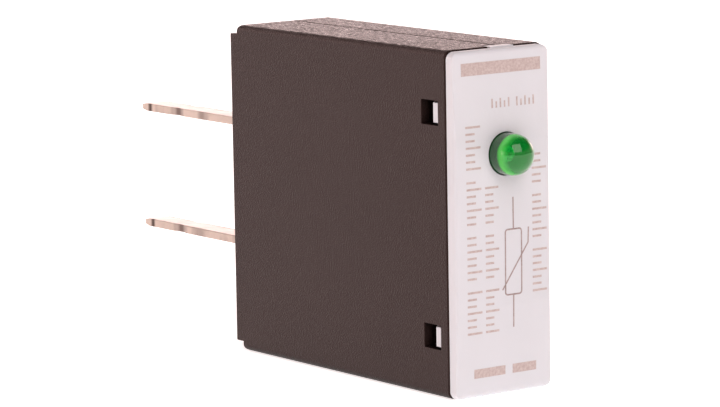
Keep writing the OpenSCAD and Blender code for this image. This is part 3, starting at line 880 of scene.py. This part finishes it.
@dataclass
class Contacts:
    """The two stamped blades."""

    nodes: tuple[str, ...] = ("upper_blade", "lower_blade")
    half_width: float = 1.65 * MM
    # painted shade: spots on the cut edges painted dark, as middle and half length from the tip
    shaded_dents: tuple[tuple[float, float], ...] = ((8.5 * MM, 1.1 * MM), (2.1 * MM, 0.4 * MM))
    edge: EdgeBreak = EdgeBreak(0.08 * MM)
    # the bare cut edge's colour, and the dark colour for its stains and the painted shade at the dents
    bare: tuple[Colour, Colour] = ((0.7, 0.62, 0.56), (0.16, 0.12, 0.105))
    tin: tuple[Colour, Colour] = ((0.93, 0.9, 0.87), (0.85, 0.79, 0.72))
    rolled: Colour = (1.0, 0.05, 1.0)
    roughness: tuple[float, float] = (0.35, 0.5)

    def dress(self) -> None:
        """Finishes both blades and rounds their stamped edges.

        The shaded dents are places along the cut edges, measured from the tip, painted dark as painted
        shade: the catch notch and the start of the lead-in. `rolled` stretches the tin's fine lines
        along the blades.
        """
        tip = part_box(self.nodes[0])[1].y
        cut = Sheared(*self.bare, self.half_width, tuple((tip - back, half) for back, half in self.shaded_dents))
        material = TinnedMetal("blade_tin", *self.tin, self.rolled, self.roughness, cut).material()
        for name in self.nodes:
            paint(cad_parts[name], material)
            self.edge.apply(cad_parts[name])
        log.info("contact blades dressed")


@dataclass
class Board:
    """The circuit board, its copper and its solder."""

    laminate: BoardLaminate = BoardLaminate("board_resist", (0.025, 0.16, 0.06), (0.04, 0.24, 0.09))
    copper: TinnedMetal = TinnedMetal("track_copper", (0.72, 0.36, 0.2), (0.5, 0.25, 0.14), EVEN)
    solder: TinnedMetal = TinnedMetal("solder_metal", (0.7, 0.71, 0.73), (0.5, 0.5, 0.5), EVEN, (0.1, 0.3))
    board_edge: EdgeBreak = EdgeBreak(0.08 * MM)
    solder_edge: EdgeBreak = EdgeBreak(0.04 * MM)

    def dress(self) -> None:
        """Finishes the board's three nodes."""
        for name, finish in (("circuit_board", self.laminate), ("copper_tracks", self.copper),
                             ("solder_joints", self.solder)):
            paint(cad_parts[name], finish.material())
        self.board_edge.apply(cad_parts["circuit_board"])
        self.solder_edge.apply(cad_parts["solder_joints"])
        log.info("circuit board dressed")


@dataclass
class Components:
    """The varistor, the resistor, the diode and all their leads."""

    coating: DippedEpoxy = DippedEpoxy("varistor_coating", (0.02, 0.07, 0.3), (0.04, 0.13, 0.42))
    resistor: BandedBody = BandedBody(
        "resistor_lacquer", (0.62, 0.47, 0.28), Axis.Z,
        ((0.14, 0.22, (0.35, 0.05, 0.02)), (0.34, 0.42, (0.45, 0.2, 0.02)),
         (0.54, 0.62, (0.25, 0.03, 0.02)), (0.78, 0.86, (0.6, 0.42, 0.08))))
    diode: BandedBody = BandedBody(
        "diode_epoxy", (0.025, 0.025, 0.026), Axis.Y, ((0.74, 0.9, (0.6, 0.6, 0.6)),))
    leads: tuple[str, ...] = (
        "varistor_upper_lead", "varistor_lower_lead", "resistor_upper_lead", "resistor_lower_lead",
        "diode_front_lead", "diode_rear_lead")
    body_edge: EdgeBreak = EdgeBreak(0.1 * MM)
    lead_edge: EdgeBreak = EdgeBreak(0.02 * MM)

    def dress(self, tin: bpy.types.Material) -> None:
        """Finishes every component.

        Args:
            tin: the finish that all leads share.
        """
        paint(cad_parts["varistor_disc"], self.coating.material())
        for name, finish in (("resistor_body", self.resistor), ("diode_body", self.diode)):
            low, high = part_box(name)
            place = finish.axis.value
            paint(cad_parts[name], finish.material(low[place], high[place]))
        for name in ("varistor_disc", "resistor_body", "diode_body"):
            self.body_edge.apply(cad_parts[name])
        for name in self.leads:
            paint(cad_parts[name], tin)
            self.lead_edge.apply(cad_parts[name])
        log.info("components dressed: 3 bodies, %d leads", len(self.leads))


# ---------------------------------------------------------------- studio


@dataclass
class Softbox:
    """A square area light aimed at a point, which glossy surfaces mirror only where it says so."""

    name: str
    place: Colour
    aim: Colour
    size: float
    radiance: float
    colour: Colour = WARM_WHITE
    mirrored: bool = True

    def build(self) -> None:
        """Makes the light and points it."""
        lamp = bpy.data.lights.new(self.name, "AREA")
        lamp.size = self.size
        lamp.energy = math.pi * self.size**2 * self.radiance
        lamp.color = self.colour
        made = bpy.data.objects.new(self.name, lamp)
        bpy.context.scene.collection.objects.link(made)
        made.visible_glossy = self.mirrored
        made.location = self.place
        made.rotation_euler = (Vector(self.aim) - made.location).to_track_quat("-Z", "Y").to_euler()


@dataclass
class Studio:
    """Floor, light and camera."""

    azimuth: float = math.radians(-36.278)
    elevation: float = math.radians(8.4285)
    roll: float = math.radians(-0.991)
    distance: float = 0.47894
    aim_height: float = 0.02075
    shift_right: float = -0.003352
    shift_up: float = -0.000321
    lens: float = 194.7
    sensor: float = 36.0
    floor_size: float = 6.0
    floor_gap: float = 0.05 * MM
    floor_flat: float = 1.5
    floor_bow: float = 0.05
    sky: Colour = (1.0, 0.76, 0.73)
    horizon: float = 3.6
    zenith: float = 0.25
    front_share: float = 0.14
    rise: tuple[float, float] = (0.2, 0.45)
    turn: tuple[float, float] = (-0.2, 0.4)
    boxes: tuple[Softbox, ...] = (
        Softbox("key", (-0.43, -2.03, 1.87), (0.0, 0.0, 0.02), 2.3, 2.85),
        Softbox("overhead", (-0.15, -0.45, 2.5), (0.0, 0.0, 0.02), 1.5, 2.6, mirrored=False),
    )

    def build_camera(self) -> None:
        """Places the camera on its bearing from the case's middle and turns it by the roll."""
        a, e, r = self.azimuth, self.elevation, self.roll
        back = Vector((math.sin(a) * math.cos(e), -math.cos(a) * math.cos(e), math.sin(e)))
        level = (-back).cross(Vector((0, 0, 1))).normalized()
        upright = level.cross(-back)
        right = level * math.cos(r) + upright * math.sin(r)
        up = upright * math.cos(r) - level * math.sin(r)
        place = Vector((0, 0, self.aim_height)) + back * self.distance
        place += right * self.shift_right + up * self.shift_up
        data = bpy.data.cameras.new("camera")
        data.lens = self.lens
        data.sensor_width = self.sensor
        data.clip_start = 0.01
        camera = bpy.data.objects.new("camera", data)
        bpy.context.scene.collection.objects.link(camera)
        turn = Matrix((right, up, back)).transposed().to_4x4()
        camera.matrix_world = Matrix.Translation(place) @ turn
        bpy.context.scene.camera = camera

    def build_floor(self) -> None:
        """Lays a pale board that bows up slightly far away, a hair under the object's flat bottom."""
        side = np.linspace(-self.floor_size / 2, self.floor_size / 2, 25)
        x, y = np.meshgrid(side, side, indexing="ij")
        far = np.clip(np.hypot(x, y) - self.floor_flat, 0.0, None)
        grid = np.stack([x, y, self.floor_bow * far**2 - self.floor_gap], -1)
        floor = make_piece("floor", grid_shape(grid, False, False))
        paint(floor, PaleFloor().material())

    def build_light(self) -> None:
        """Sets a sky that is brightest low down behind the object, and the softboxes."""
        world = bpy.data.worlds.new("sky")
        bpy.context.scene.world = world
        world.use_nodes = True
        nodes, links = world.node_tree.nodes, world.node_tree.links
        background = nodes["Background"]
        background.inputs["Color"].default_value = (*self.sky, 1.0)
        split = nodes.new("ShaderNodeSeparateXYZ")
        links.new(nodes.new("ShaderNodeTexCoord").outputs["Generated"], split.inputs[0])
        shares = []
        for axis, limits in (("Z", (*self.rise, self.horizon, self.zenith)),
                             ("Y", (*self.turn, self.front_share, 1.0))):
            fade = nodes.new("ShaderNodeMapRange")
            fade.interpolation_type = "SMOOTHSTEP"
            for name, value in zip(("From Min", "From Max", "To Min", "To Max"), limits):
                fade.inputs[name].default_value = value
            links.new(split.outputs[axis], fade.inputs["Value"])
            shares.append(fade.outputs[0])
        product = nodes.new("ShaderNodeMath")
        product.operation = "MULTIPLY"
        for share, socket in zip(shares, product.inputs):
            links.new(share, socket)
        links.new(product.outputs[0], background.inputs["Strength"])
        for box in self.boxes:
            box.build()

    def build(self) -> None:
        """Builds the whole studio."""
        self.build_camera()
        self.build_floor()
        self.build_light()
        bpy.context.scene.view_settings.view_transform = "Standard"
        log.info("studio ready")


def main() -> None:
    """Builds and dresses every sub-assembly in order."""
    logging.basicConfig(level=logging.INFO, format="%(name)s: %(message)s")
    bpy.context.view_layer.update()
    Studio().build()
    tin = TinnedMetal("lead_tin", (0.74, 0.73, 0.71), (0.55, 0.52, 0.48), EVEN).material()
    CaseShells().dress()
    cover = FrontCover()
    cover.dress()
    cover.build()
    indicator = Indicator()
    indicator.dress(tin)
    indicator.build()
    Contacts().dress()
    Board().dress()
    Components().dress(tin)


if __name__ == "__main__":
    main()
